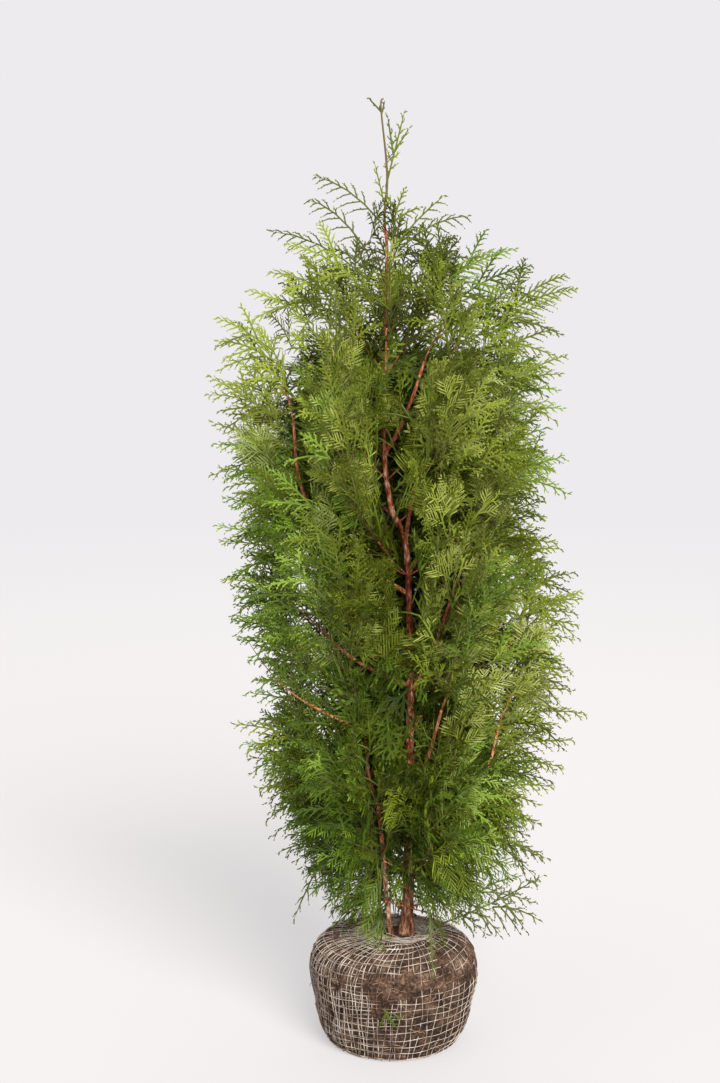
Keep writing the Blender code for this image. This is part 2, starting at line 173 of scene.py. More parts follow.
# Sprays that hang round the foot: start and tip, fall, kind.
HANGING_SPRAYS = (
    ((58, -85, 250), (62, -138, 152), 0.6, "plume"), ((-30, -60, 350), (-20, -112, 190), 0.5, "full"),
    ((-20, -60, 330), (-30, -115, 196), 0.4, "full"), ((-45, -50, 310), (-50, -110, 205), 0.4, "full"),
    ((-5, -70, 300), (-8, -120, 200), 0.5, "full"), ((60, -30, 330), (154, -50, 244), 0.5, "full"),
    ((100, -30, 360), (206, -40, 286), 0.5, "full"), ((120, -20, 370), (253, -30, 320), 0.5, "plume"),
    ((79, -30, 210), (254, -30, 299), -0.25, "slim"), ((166, -30, 240), (252, -40, 213), 0.9, "wispy"),
    ((114, -30, 220), (137, -35, 185), 0.6, "wispy"), ((144, -30, 229), (166, -35, 185), 0.6, "wispy"),
    ((166, -30, 238), (193, -35, 187), 0.6, "wispy"), ((180, -30, 238), (214, -35, 187), 0.6, "wispy"),
    ((222, -30, 288), (244, -35, 278), 0.3, "wispy"), ((-108, -20, 343), (-171, -30, 203), 0.5, "wispy"),
    ((-112, -20, 347), (-199, -30, 333), 0.8, "wispy"), ((-108, -20, 343), (-152, -30, 273), 0.6, "wispy"),
    ((-71, -20, 298), (-140, -30, 262), 0.6, "wispy"), ((-71, -20, 270), (-126, -30, 228), 0.7, "wispy"),
    ((-18, -138, 106), (4, -141, 72), 0.0, "plume"), ((-12, -140, 102), (-26, -138, 74), 0.0, "plume"),
    ((-4, -140, 100), (12, -140, 88), 0.0, "plume"),
)

# How the masses grow: lift and fall of their sprays by height.
LIFT_HEIGHTS = (0.2, 0.32, 0.45, 0.65, 0.9, 1.2, 1.45)
LIFT = (-0.45, 0.0, 0.45, 0.85, 0.95, 1.1, 1.6)
FALL = (0.45, 0.45, 0.5, 0.55, 0.6, 0.7, 0.7)
# Share of a mass's sprays that grow, by height, and the height that they stay under.
THIN_HEIGHTS = (0.22, 0.3, 0.42, 1.15, 1.27, 1.36)
THIN = (0.28, 0.66, 1.0, 0.8, 0.42, 0.14)
TOP_OF_MASSES = 1.45
# The foot's edge, which rises away from the trunk, and the height above which the crown is open.
FOOT_HEIGHT, FOOT_SLOPE = 0.205, 0.6
OPEN_ABOVE = 1.15
# Heights below which open sprays hang, at the ends of masses and on side twigs, or take darker tints as
# painted shade.
MASSES_HANG_BELOW, TWIGS_HANG_BELOW = 0.42, 0.45
PAINTED_SHADE_BELOW = 0.75
# Gaps between a mass's side twigs and between its inner sprays, and the turn from one twig to the next.
TWIG_GAP, INNER_GAP, TWIG_TURN = 0.021, 0.045, 2.4
# A spray is shortened to this, and then moved, to stay inside the outline.
SHORTEST_HELD = 0.055
# Radii of the twigs at their two ends.
BARE_TWIG, LEAFY_TWIG = (0.0017, 0.0013), (0.0013, 0.0006)
SIDE_TWIG, LEADER_TWIG = (0.0009, 0.0005), (0.001, 0.0007)
# How far past the design's box a leaf may stand.
BOX_SLACK = np.array([0.012, 0.01, 0.03])

# ---- bark and ball
# A bark ridge's width and length, and its height as a share of the limb's radius.
RIDGE_WIDTH, RIDGE_LENGTH, BARK_RELIEF = 0.0034, 0.03, 0.1
GREEN_TRUNK_ABOVE = 1.37
BALL_MIDDLE = np.array([0.0, 0.0, 0.09])
# The net's mesh and the radius of its string.
NET_CELL, STRING = 0.0135, 0.0007

# ---- stage
CAMERA_PLACE = (-0.057, -3.015, 1.390)
CAMERA_PITCH = 10.0
CAMERA_LENS = 62.1
ROOM_LIGHT = 0.75


# ---- array geometry
def unit(v):
    """The vectors at length 1."""
    return v / np.linalg.norm(v, axis=-1, keepdims=True).clip(1e-9)


def evenly(line, steps):
    """The same line with steps + 1 points at equal distances."""
    line = np.asarray(line, float)
    run = distances(line)
    at = np.linspace(0, run[-1], steps + 1)
    return np.stack([np.interp(at, run, line[:, k]) for k in range(3)], axis=1)


def curve_through(points, steps):
    """Catmull-Rom curve through a table's points, evenly spaced."""
    p = mm(points)
    p = np.vstack([2 * p[0] - p[1], p, 2 * p[-1] - p[-2]])
    t = np.linspace(0, 1, 12, endpoint=False)[:, None]
    spans = []
    for a, b, c, d in zip(p, p[1:], p[2:], p[3:]):
        square, cube = 2 * a - 5 * b + 4 * c - d, 3 * b - a - 3 * c + d
        spans.append(0.5 * (2 * b + (c - a) * t + square * t**2 + cube * t**3))
    return evenly(np.vstack([*spans, p[-2:-1]]), steps)


def bend(start, middle, end, steps=24):
    """Quadratic curve from start to end, drawn towards middle."""
    t = np.linspace(0, 1, 3 * steps)[:, None]
    line = (1 - t) ** 2 * np.array(start) + 2 * t * (1 - t) * np.array(middle) + t**2 * np.array(end)
    return evenly(line, steps)


def distances(line):
    """How far along the line each of its points lies."""
    return np.concatenate([[0], np.cumsum(np.linalg.norm(np.diff(line, axis=0), axis=1))])


def lumps(points, size, seed=0):
    """Noise from -1 to 1: random values on a lattice of this size, blended smoothly in between."""
    q = np.asarray(points, float) / size + 17.3 * seed + 500
    cell = np.floor(q).astype(np.int64)
    f = q - cell
    f = f * f * (3 - 2 * f)
    total = np.zeros(q.shape[:-1])
    for corner in itertools.product((0, 1), repeat=3):
        c = cell + corner
        h = (c[..., 0] * 73856093 ^ c[..., 1] * 19349663 ^ c[..., 2] * 83492791) & 0xFFFFFFFF
        h = (h ^ h >> 15) * 2246822519 & 0xFFFFFFFF
        h = (h ^ h >> 13) * 3266489917 & 0xFFFFFFFF
        weight = np.prod(np.where(corner, f, 1 - f), axis=-1)
        total += weight * ((h ^ h >> 16) / 2**31 - 1)
    return total


def new_object(name, data):
    """An object of this data in the scene."""
    made = bpy.data.objects.new(name, data)
    bpy.context.scene.collection.objects.link(made)
    return made


def new_piece(name, vertices, faces, materials, slots=None, smooth=False):
    """A mesh object at the origin from vertices and triangles or quads, with each face's material slot."""
    mesh = bpy.data.meshes.new(name)
    sides = faces.shape[1]
    mesh.vertices.add(len(vertices))
    mesh.vertices.foreach_set("co", vertices.astype(np.float32).ravel())
    mesh.loops.add(faces.size)
    mesh.loops.foreach_set("vertex_index", faces.astype(np.int32).ravel())
    mesh.polygons.add(len(faces))
    mesh.polygons.foreach_set("loop_start", np.arange(0, faces.size, sides, dtype=np.int32))
    for material in materials:
        mesh.materials.append(material)
    if slots is not None:
        mesh.polygons.foreach_set("material_index", slots.astype(np.int32))
    mesh.polygons.foreach_set("use_smooth", np.full(len(faces), smooth))
    mesh.update(calc_edges=True)
    mesh.validate()
    return new_object(name, mesh)


def joined(parts):
    """One array of vertices and one of faces from several pairs of them."""
    offsets = np.cumsum([0] + [len(v) for v, _ in parts[:-1]])
    return np.vstack([v for v, _ in parts]), np.vstack([f + o for (_, f), o in zip(parts, offsets)])


def grid_sides(rings, sides):
    """Numbers of the four corners of every cell of a grid of rings that close on themselves."""
    step, around = np.meshgrid(np.arange(rings - 1), np.arange(sides), indexing="ij")
    a = (step * sides + around).ravel()
    b = (step * sides + (around + 1) % sides).ravel()
    return a, b, b + sides, a + sides


def tube_faces(rings, sides):
    """Triangles of a closed tube: two for each cell of its wall, and a fan that closes either end."""
    a, b, c, d = grid_sides(rings, sides)
    i = np.arange(sides)
    j = (i + 1) % sides
    foot, last = rings * sides, (rings - 1) * sides
    return np.vstack([
        np.stack([a, d, b], 1),
        np.stack([b, d, c], 1),
        np.stack([np.full(sides, foot), i, j], 1),
        np.stack([np.full(sides, foot + 1), last + j, last + i], 1),
    ])


def repeated(faces, corners, count):
    """The same faces for many like shapes that follow each other in one array."""
    return (faces[None] + corners * np.arange(count)[:, None, None]).reshape(-1, faces.shape[1])


def rings_round(lines, reference, sides):
    """Directions from each point of the lines to a ring of points that stands square to the line."""
    heading = unit(np.gradient(lines, axis=-2))
    side = unit(np.cross(heading, np.broadcast_to(reference, lines.shape)))
    rise = np.cross(side, heading)
    turn = np.arange(sides) * 2 * math.pi / sides
    return np.cos(turn)[:, None] * side[..., None, :] + np.sin(turn)[:, None] * rise[..., None, :]


def tubes(lines, radii, sides, reference):
    """Closed round tubes: lines (N, K, 3), a radius for all or for each point, a vector across the lines."""
    n, k = lines.shape[:2]
    radii = np.broadcast_to(radii, (n, k))[..., None, None]
    body = lines[:, :, None] + radii * rings_round(lines, reference, sides)
    vertices = np.concatenate([body.reshape(n, -1, 3), lines[:, :1], lines[:, -1:]], axis=1)
    return vertices.reshape(-1, 3), repeated(tube_faces(k, sides), vertices.shape[1], n)


# ---- materials
def linear(code):
    """sRGB hex to linear RGBA."""
    srgb = np.array([int(code[i : i + 2], 16) for i in (1, 3, 5)]) / 255
    value = np.where(srgb <= 0.04045, srgb / 12.92, ((srgb + 0.055) / 1.055) ** 2.4)
    return (*value, 1.0)


def set_node(tree, node, settings):
    """Sets a node by socket or attribute.  Another node's socket becomes a link, and stops fill a ramp."""
    for key, value in settings.items():
        if key == "stops":
            elements = node.color_ramp.elements
            while len(elements) < len(value):
                elements.new(0.5)
            for element, (place, code) in zip(elements, value):
                element.position, element.color = place, linear(code)
        elif isinstance(value, bpy.types.NodeSocket):
            tree.links.new(value, node.inputs[key])
        elif isinstance(key, int) or key in node.inputs:
            node.inputs[key].default_value = value
        else:
            setattr(node, key, value)


def add_node(tree, kind, settings, output=0):
    """One output of a new shader node of this kind, with its settings and links."""
    node = tree.nodes.new("ShaderNode" + kind)
    set_node(tree, node, settings)
    return node.outputs[output]


def new_material(name, settings):
    """A material with its shader's settings, and its tree and shader."""
    made = bpy.data.materials.new(name)
    made.use_nodes = True
    shader = made.node_tree.nodes["Principled BSDF"]
    set_node(made.node_tree, shader, settings)
    return made, made.node_tree, shader


def leaf_material(number, code):
    """Scale leaves: a waxy skin over soft green flesh, so the gloss is broad and weak. Each copy's base
    colour is one step of painted light and shade.
    """
    settings = {"Base Color": linear(code), "Roughness": 0.52, "IOR": 1.42, "Specular IOR Level": 0.2}
    return new_material(f"scale_leaf_light_step_{number}", settings)[0]


def bark_material(name, stops, grain=0.0045):
    """Thuja bark: thin papery strips that run up the limb, red-brown where fresh, paler where they lift,
    with the palest flecks partly a painted highlight. The grain is a strip's width, drawn at 3 mm or more so
    that it shows, in patches of 5 cm."""
    made, tree, shader = new_material(name, {"Roughness": 0.82, "IOR": 1.45, "Specular IOR Level": 0.25})
    place = add_node(tree, "TexCoord", {}, "Object")
    drawn_up = add_node(tree, "Mapping", {"Vector": place, "Scale": (1.0, 1.0, 0.3)})
    fine = {"Vector": drawn_up, "Scale": 1 / grain, "Detail": 4.0, "Roughness": 0.65}
    strips = add_node(tree, "TexNoise", fine)
    patches = add_node(tree, "TexNoise", {"Vector": place, "Scale": 1 / 0.05, "Detail": 2.0})
    colour = add_node(tree, "Math", {"operation": "MULTIPLY_ADD", 0: patches, 1: 0.5, 2: strips})
    ramp = add_node(tree, "ValToRGB", {"Fac": colour, "stops": stops})
    relief = add_node(tree, "Bump", {"Strength": 0.5, "Distance": 0.0006, "Height": strips})
    set_node(tree, shader, {"Base Color": ramp, "Normal": relief})
    return made


# ---- the crown's plan
TRUNK_COURSE = curve_through(TRUNK_LINE, 60)


def trunk_at(height):
    """The middle of the trunk at this height."""
    return np.array([np.interp(height, TRUNK_COURSE[:, 2], TRUNK_COURSE[:, k]) for k in range(2)] + [height])


def reach(azimuth, height, lefts=LEFT_REACH, rights=RIGHT_REACH):
    """The crown's reach at this height: an ellipse between the side outlines and the depth."""
    left = np.interp(height, OUTLINE_HEIGHTS, lefts)
    right = np.interp(height, OUTLINE_HEIGHTS, rights)
    side = np.where(np.cos(azimuth) > 0, right, left)
    deep = DEPTH_SHARE * (left + right) / 2
    return 1 / np.hypot(np.cos(azimuth) / side, np.sin(azimuth) / deep)


def mass_lines():
    """Each mass's own line from its inner end to its tip, with its girth.
    It goes on from the limb that carries it, or leaves the trunk and rises towards the outline."""
    rng = np.random.default_rng(MASS_SEED)
    lines = {}
    for tier, foot, tip, girth, lift, sectors in TIERS:
        for sector, degrees in sectors.items():
            name = f"{tier}_{sector}"
            azimuth = math.radians(degrees + rng.uniform(-4, 4))
            stagger = rng.uniform(-1, 1) * TIP_STAGGER if sector not in ("left", "right") else 0
            foot_height, tip_height = SIDE_HEIGHTS.get(name, (foot, tip + stagger))
            far = float(reach(azimuth, tip_height))
            end = np.array([far * math.cos(azimuth), far * math.sin(azimuth), tip_height])
            if name in BOUGHS or name == "middle_front_left":
                before, start = mm(BOUGHS.get(name, SIDE_STEM_LINE)[-2:])
                heading = start - before
                middle = start + heading / np.linalg.norm(heading) * np.linalg.norm(end - start) * 0.45
            else:
                start = trunk_at(foot_height)
                middle = start + (end - start) * np.array([0.55, 0.55, lift])
            lines[name] = (bend(start, middle, end), girth)
    return lines


# ---- growing
def along(shoots, share):
    """Points, headings and normals of each shoot at shares t (N, K) of its length.
    A point is start + length (t heading + t² / 2 pull)."""
    t = share[..., None]
    heading, pull = shoots["heading"][:, None], shoots["pull"][:, None]
    places = shoots["start"][:, None] + shoots["length"][:, None, None] * (t * heading + t**2 / 2 * pull)
    headings = unit(heading + t * pull)
    normals = shoots["normal"][:, None]
    normals = unit(normals - (normals * headings).sum(-1, keepdims=True) * headings)
    return places, headings, normals


def points_at(shoots, share):
    """One point of each shoot, at this share of its length."""
    return along(shoots, np.full((len(shoots["length"]), 1), share))[0][:, 0]


def kept(shoots, which):
    """The shoots that a mask or a list of numbers picks."""
    return {key: value[which] for key, value in shoots.items()}


def trait(shoots, name):
    """One of the numbers of each shoot's kind."""
    column = TRAITS.index(name)
    return np.array([numbers[column] for numbers in KINDS.values()])[shoots["kind"]]


def darker(tint):
    """The next darker leaf colour of the same hue: one step more of painted shade."""
    return np.where(tint > 1, tint - 2, tint)


def side_shoots(parent, gap, length_at, angles, forward, fall, ruffle, rng):
    """Shoots on alternate sides of each parent, a gap apart, in the parent's plane.
    Each leaves at an angle that narrows towards the parent's tip, bends forward and falls a little."""
    n = len(parent["length"])
    step = (gap / parent["length"])[:, None]
    count = int(np.ceil((1 - BARE_SHARE) / step.min())) + 1
    order = np.arange(count)
    place = order + rng.uniform(0.2, 1.0, (n, 1)) + rng.uniform(-0.25, 0.25, (n, count))
    share = BARE_SHARE + step * place
    grown = share < 0.985
    of = np.broadcast_to(np.arange(n)[:, None], (n, count))[grown]
    side = np.where((order + rng.integers(0, 2, (n, 1))) % 2, 1.0, -1.0)[grown][:, None]
    share = share[grown][:, None]
    mother = kept(parent, of)
    places, headings, normals = (a[:, 0] for a in along(mother, share))
    angle = angles[0] + (angles[1] - angles[0]) * share + rng.normal(0, 0.045, share.shape)
    away = np.cos(angle) * headings + np.sin(angle) * side * np.cross(normals, headings)
    away += ruffle * rng.normal(0, 1, share.shape) * normals
    length = length_at(share[:, 0], mother) * rng.uniform(0.66, 1.2, len(share))
    forward, fall = (np.broadcast_to(value, (n, 1))[of] for value in (forward, fall))
    new = {"start": places, "heading": unit(away), "pull": forward * headings - fall * UP}
    return mother | new | {"length": length, "normal": normals}


def blades(shoots, shares, widths):
    """Flat green blades along the shoots, their width given in strip widths at each share but the last.
    The last share is the point of the blade."""
    n, k = len(shoots["length"]), len(widths)
    places, headings, normals = along(shoots, np.broadcast_to(shares, (n, k + 1)))
    half = LEAF_WIDTH / 2 * trait(shoots, "leaf_width")[:, None] * widths
    side = np.cross(normals, headings)[:, :-1] * half[..., None]
    edges = np.stack([places[:, :-1] - side, places[:, :-1] + side], axis=2).reshape(n, -1, 3)
    vertices = np.concatenate([edges, places[:, -1:]], axis=1)
    i = 2 * np.arange(k)
    faces = np.vstack([np.stack([i + 1, i, i + 2], 1), np.stack([i[:-1] + 1, i[:-1] + 2, i[:-1] + 3], 1)])
    return vertices.reshape(-1, 3), repeated(faces, 2 * k + 1, n)


def branchlet_length(share, mother):
    """A spray's outline: widest a fifth of the way up, narrowing to its tip."""
    widest = trait(mother, "longest") * mother["length"]
    return widest * (0.5 + 0.5 * (share / 0.22).clip(0, 1)) * (1.04 - share).clip(0) ** 0.8 + 0.003


def leaf_length(share, mother):
    """Leafy strips on a branchlet: shorter on a short one, and over its outer half towards its tip."""
    growth = np.minimum(0.55 * mother["length"], trait(mother, "leaf_growth"))
    return growth * (2.0 * (1.05 - share)).clip(0, 1) + SHORTEST_LEAF


# Openings in the foliage that show a limb from the front: half-width, share left out, points on the limb.
WINDOWS = (
    (12, 0.95, ((24, 0, 190), (26, 0, 260))),
    (9, 0.45, ((26, 0, 470), (26, 0, 720))),
    (16, 0.97, ((26, 0, 720), (20, 0, 830), (10, 0, 880), (-6, 0, 915), (-18, 0, 1030))),
    (8, 0.9, ((-4, -16, 190), *SIDE_STEM_LINE[1:])),
    (9, 0.9, ((-37, -30, 645), (-75, -40, 676), (-112, -44, 712), (-150, -44, 755))),
    (10, 0.9, ((-145, -36, 930), (-164, -36, 1060), (-175, -36, 1155), (-190, -36, 1300))),
    (8, 0.95, ((0, -14, 1026), (28, -22, 1100), (56, -24, 1194))),
    (7, 0.9, ((70, -28, 700), (84, -28, 745), (105, -30, 810))),
    (7, 0.9, ((50, -40, 500), (60, -52, 525), (78, -62, 606))),
)


def clear_of_windows(points, rng, wider=0.0):
    """False for most of the points that stand in a window.
    They are in front of its limb and, on the way from the camera to it, within its half-width."""
    eye = np.array(CAMERA_PLACE)
    clear = np.ones(len(points), bool)
    chance = rng.uniform(0, 1, len(points))
    depth = points[:, 1] - eye[1]
    for half_width, share, course in WINDOWS:
        course = mm(course)
        for a, b in zip(course, course[1:]):
            limb_depth = (a[1] + b[1]) / 2
            scale = ((limb_depth - eye[1]) / depth)[:, None]
            flat = eye[[0, 2]] + (points[:, [0, 2]] - eye[[0, 2]]) * scale
            span = b[[0, 2]] - a[[0, 2]]
            t = (((flat - a[[0, 2]]) @ span) / (span @ span)).clip(0, 1)
            away = np.linalg.norm(flat - a[[0, 2]] - t[:, None] * span, axis=1)
            in_front = points[:, 1] < limb_depth + 0.004
            clear &= ~(in_front & (away < half_width / 1000 + wider) & (chance < share))
    return clear


def in_place(shoots, share, rng):
    """The shoots whose point at this share is clear of windows and in the design's box or nearly."""
    points = points_at(shoots, share)
    clear = clear_of_windows(points, rng)
    low, high = np.array(CAD_BOX)
    inside = ((points > low - BOX_SLACK) & (points < high + BOX_SLACK)).all(axis=1)
    return kept(shoots, clear & inside)


def grow_sprays(sprays, rng):
    """Branchlets and leafy strips on the sprays: their vertices, triangles and the tint of each triangle."""
    curl, fall = trait(sprays, "bend")[:, None], trait(sprays, "fall")[:, None]
    gap = trait(sprays, "gap")
    branchlets = side_shoots(sprays, gap, branchlet_length, (0.8, 0.5), curl, fall, 0.06, rng)
    branchlets = in_place(branchlets, 0.6, rng)
    gap, fall = trait(branchlets, "leaf_gap"), trait(branchlets, "leaf_fall")[:, None]
    leaves = side_shoots(branchlets, gap, leaf_length, (0.78, 0.62), 0.35, fall, 0.05, rng)
    leaves = in_place(leaves, 0.7, rng)
    leaves["normal"] = unit(leaves["normal"] + rng.normal(0, 0.3, leaves["normal"].shape))
    parts = [
        blades(leaves, (0, 0.62, 1), (0.6, 1.0)),
        blades(branchlets, (0, 0.5, 1), (1.0, 0.9)),
        blades(sprays, (0, 0.25, 0.5, 0.75, 1), (1.3, 1.2, 1.1, 1.0)),
    ]
    each = (leaves["tint"], darker(branchlets["tint"]), darker(sprays["tint"]))
    return *joined(parts), np.concatenate([np.repeat(tint, count) for tint, count in zip(each, (3, 3, 7))])


def spray(start, heading, normal, length, fall, kind, tint):
    """One spray as a row of numbers, with its normal made square to its heading."""
    heading = unit(np.asarray(heading, float))
    normal = np.asarray(normal, float)
    normal = unit(normal - (normal @ heading) * heading)
    return start, heading, normal, length, fall, KIND_NAMES.index(kind), tint


def frond(start, heading, normal, length, fall, kind, tint, rng):
    """A long open spray with one to three shorter ones set alternately along it, all in one plane."""
    leading = spray(start, heading, normal, length, fall, kind, tint)
    yield leading
    heading, normal = leading[1:3]
    side = rng.choice((-1.0, 1.0))
    for share in (np.arange(0.06, 0.5, 0.19) + rng.uniform(-0.05, 0.05, 3))[: rng.integers(1, 4)]:
        side = -side
        tangent = unit(heading - share * fall * UP)
        angle = rng.uniform(0.55, 0.8)
        away = math.cos(angle) * tangent + math.sin(angle) * side * np.cross(normal, tangent)
        base = start + length * (share * heading - share**2 / 2 * fall * UP)
        tone = darker(tint) if rng.uniform() < 0.4 else tint
        shorter = length * (0.8 - 0.62 * share) * rng.uniform(0.8, 1.1)
        yield spray(base, away, normal, shorter, fall, kind, tone)


def as_shoots(rows):
    """Sprays as arrays, one for each property."""
    names = ("start", "heading", "normal", "length", "pull", "kind", "tint")
    shoots = dict(zip(names, map(np.array, zip(*rows))))
    shoots["pull"] = -shoots["pull"][:, None] * UP
    return shoots


def share_out(point, dense=False):
    """How far out a point stands: 1 on the crown's outline, or on that of its dense body."""
    sides = (BODY_LEFT, BODY_RIGHT) if dense else (LEFT_REACH, RIGHT_REACH)
    x, y, height = np.moveaxis(np.asarray(point), -1, 0)
    return np.hypot(x, y) / reach(np.arctan2(y, x), height, *sides)


def held_in(start, heading, length, fall, slack, dense):
    """The start and length that keep a spray's tip within the crown's outline.
    The spray gets shorter step by step, and then moves inwards."""
    for _ in range(14):
        tip = start + length * (heading - fall / 2 * UP)
        if share_out(tip, dense) <= slack:
            break
        if length > SHORTEST_HELD:
            length *= 0.9
        else:
            start = start * np.array([0.9, 0.9, 1.0])
    return start, length


def painted_light_tint(point, rng):
    """A leaf colour that paints light and shade: brighter near the outline, at the sides, on the right, in
    the middle between 0.72 and 1.2 m and high up, dark deep inside and at the foot, and patchy at random. It
    is greener on the left, and yellower near the top."""
    patch, green = (float(lumps(np.array([point]), size, 3)[0]) for size in (0.12, 0.16))
    x, _, height = point
    # Painted light and shade: the level rises towards the outline, the sides, the right, the middle and the
    # top, and falls at the foot.
    place = np.interp(abs(x), (0.08, 0.22), (0, 0.9))
    place += np.interp(height, (0.22, 0.36, 0.55, 0.9, 1.2), (-3.0, -1.8, 0, 0, 0.3))
    place += np.interp(x, (0.0, 0.08), (0, 0.6))
    painted_light_middle = np.interp(abs(x), (0.07, 0.13), (0.7, 0))
    place += painted_light_middle * np.interp(height, (0.72, 0.85, 1.08, 1.2), (0, 1, 1, 0))
    level = 0.6 + 2.8 * min(1.0, share_out(point)) + place + 0.6 * patch
    level += rng.normal(0, np.interp(abs(x), (0.1, 0.16), (0.65, 0.35)))
    palest = min(
        np.interp(height, (0.55, 0.75, 1.1, 1.25), (3.6, 4.4, 4.4, 3.9)),
        np.interp(abs(x), (0.09, 0.2), (3.4, 4.4)),
    )
    level = np.clip(level, np.interp(height, (1.2, 1.26), (0, 2)), palest)
    green += rng.normal(0, 0.25)
    green -= 1.6 * x * np.interp(height, (0.9, 1.1), (1, 0))
    greener = green > np.interp(height, (1.1, 1.25), (0, 0.9))
    return 2 * int(np.clip(round(level), 0, len(LEAF_LIGHT_AND_SHADE_TINTS) // 2 - 1)) + int(greener)


def grow_mass(line, girth, rng):
    """A mass's twigs and sprays.  Side twigs leave its line all round and end near its surface.
    Sprays stand on both, alternately to either side, with one on each end."""
    steps = len(line) - 1
    headings = unit(np.gradient(line, axis=0))
    size = np.linalg.norm(np.diff(line, axis=0), axis=1).sum()
    out = unit((line[-1] - line[0]) * np.array([1, 1, 0]) + 1e-6)
    tangential = np.array([-out[1], out[0], 0.0])
    frontal = abs(out[1])
    edge = 0.86 + 0.14 * frontal
    thick = max(girth, 0.07)
    end_kind = "plume" if line[-1][2] > MASSES_HANG_BELOW else "hanging"
    right_side = line[-1][0] > 0.05 and line[-1][2] < OPEN_ABOVE
    bare = line[: round(0.35 * steps)]
    leafy = line[len(bare) - 1 : round((0.66 + 0.2 * frontal) * steps)]
    twigs, rows = [(bare, *BARE_TWIG), (leafy, *LEAFY_TWIG)], []

    def add(start, heading, length, kind, slack=None):
        """Adds a spray, unless chance, the foot's edge or the top leaves it out, and says if it did."""
        height = start[2]
        flow = unit(start * np.array([3.6, 2.2, 0.0]) + np.interp(height, LIFT_HEIGHTS, LIFT) * UP)
        heading = unit(0.65 * heading - 0.25 * frontal * (heading @ out) * out + flow)
        fall = np.interp(height, LIFT_HEIGHTS, FALL) * rng.uniform(0.6, 1.4)
        tilt = math.radians(25 + 45 * frontal) + rng.normal(0, 0.45)
        normal = math.cos(tilt) * tangential * rng.choice((-1, 1)) + math.sin(tilt) * unit(out + 0.4 * UP)
        dense = kind in ("full", "inner")
        root = start
        slack = slack or rng.uniform(0.8, 1.08 if dense else 0.98)
        start, length = held_in(start, heading, length, fall, slack, dense)
        middle = start + 0.5 * length * heading
        chance = np.interp(middle[2], THIN_HEIGHTS, THIN)
        if middle[2] < 0.4 and middle[0] > 0.03:
            chance *= 0.6
        foot = FOOT_HEIGHT + FOOT_SLOPE * max(0, math.hypot(middle[0], middle[1]) - 0.03)
        if middle[2] < foot + rng.normal(0, 0.012):
            return False
        if middle[1] > 0.04 and abs(middle[0]) > 0.12:
            chance *= 0.7
        if rng.uniform() > chance or start[2] + length * heading[2] > TOP_OF_MASSES:
            return False
        if height > OPEN_ABOVE and (start != root).any():
            return False
        tint = painted_light_tint(middle, rng)
        # Painted shade: a plume is one step darker, and often two on the right or low down.
        if kind == "plume":
            if rng.uniform() < (0.6 if start[0] > 0 or height < PAINTED_SHADE_BELOW else 0.0):
                tint = darker(tint)
            rows.extend(frond(start, heading, normal, length, fall, kind, darker(tint), rng))
        else:
            rows.append(spray(start, heading, normal, length, fall, kind, tint))
        return True

    count = max(4, round(size / TWIG_GAP))
    for number in range(count):
        share = 0.1 + 0.74 * (number + rng.uniform(0.2, 0.8)) / count
        at = int(share * steps)
        start, heading = line[at], headings[at]
        side = unit(np.cross(heading, UP))
        rise = np.cross(side, heading)
        angle = number * TWIG_TURN + rng.uniform(-0.4, 0.4)
        outwards = math.cos(angle) * side + math.sin(angle) * rise
        end = line[min(steps, at + round(0.3 * steps))] + girth * rng.uniform(0.5, 0.85) * outwards
        end = end * np.array([1, 1, 0]) * min(1, 0.9 / share_out(end, True)) + end * UP
        middle = start + heading * np.linalg.norm(end - start) * 0.35 + outwards * girth * 0.18
        twig = bend(start, middle, end, 8)
        twig[:, :2] *= np.minimum(1, 0.9 / share_out(twig, True).clip(1e-6))[:, None]
        tip_height = twig[8][2]
        grown = 0
        tangent = unit(np.gradient(twig, axis=0))
        flat = unit(np.cross(tangent[4], outwards) + 1e-6)
        for spot, turn in ((2, -1), (4, 1), (6, -1), (7, 1))[: 4 if right_side else 3]:
            across = unit(np.cross(flat, tangent[spot])) * turn
            kind = "full"
            if rng.uniform() < np.interp(tip_height, (0.3, 0.5, 1.1, 1.3), (0.8, 0.1, 0.1, 0.7)):
                kind = "hanging" if tip_height < TWIGS_HANG_BELOW else "plume"
            heading = tangent[spot] * 0.8 + across * 0.6
            grown += add(twig[spot], heading, girth * rng.uniform(1.1, 1.65), kind)
        length, slack = thick * rng.uniform(1.0, 1.5), edge * rng.uniform(0.92, 1.02)
        grown += add(twig[8], tangent[8], length, end_kind, slack)
        if grown > (1 if tip_height < OPEN_ABOVE else 0):
            twigs.append((twig, *SIDE_TWIG))
    inner = max(3, round(size / INNER_GAP))
    for number in range(inner):
        at = int((0.05 + 0.45 * number / inner) * steps)
        if line[at][2] > OPEN_ABOVE:
            continue
        side = unit(np.cross(headings[at], UP)) * (1 if number % 2 else -1)
        heading = headings[at] * 0.6 + side * 0.7 + rng.normal(0, 0.35, 3)
        add(line[at], heading, girth * rng.uniform(0.9, 1.2), "inner", 0.6)
    for share in (0.66, 0.8):
        at = int(share * steps)
        side = unit(np.cross(headings[at], UP)) * rng.choice((-1, 1))
        length, slack = thick * rng.uniform(1.0, 1.4), edge * rng.uniform(0.9, 1.0)
        add(line[at], headings[at] * 0.8 + side * 0.6, length, end_kind, slack)
    add(line[int(0.84 * steps)], headings[-5], thick * 1.2, end_kind, edge)
    return twigs, rows


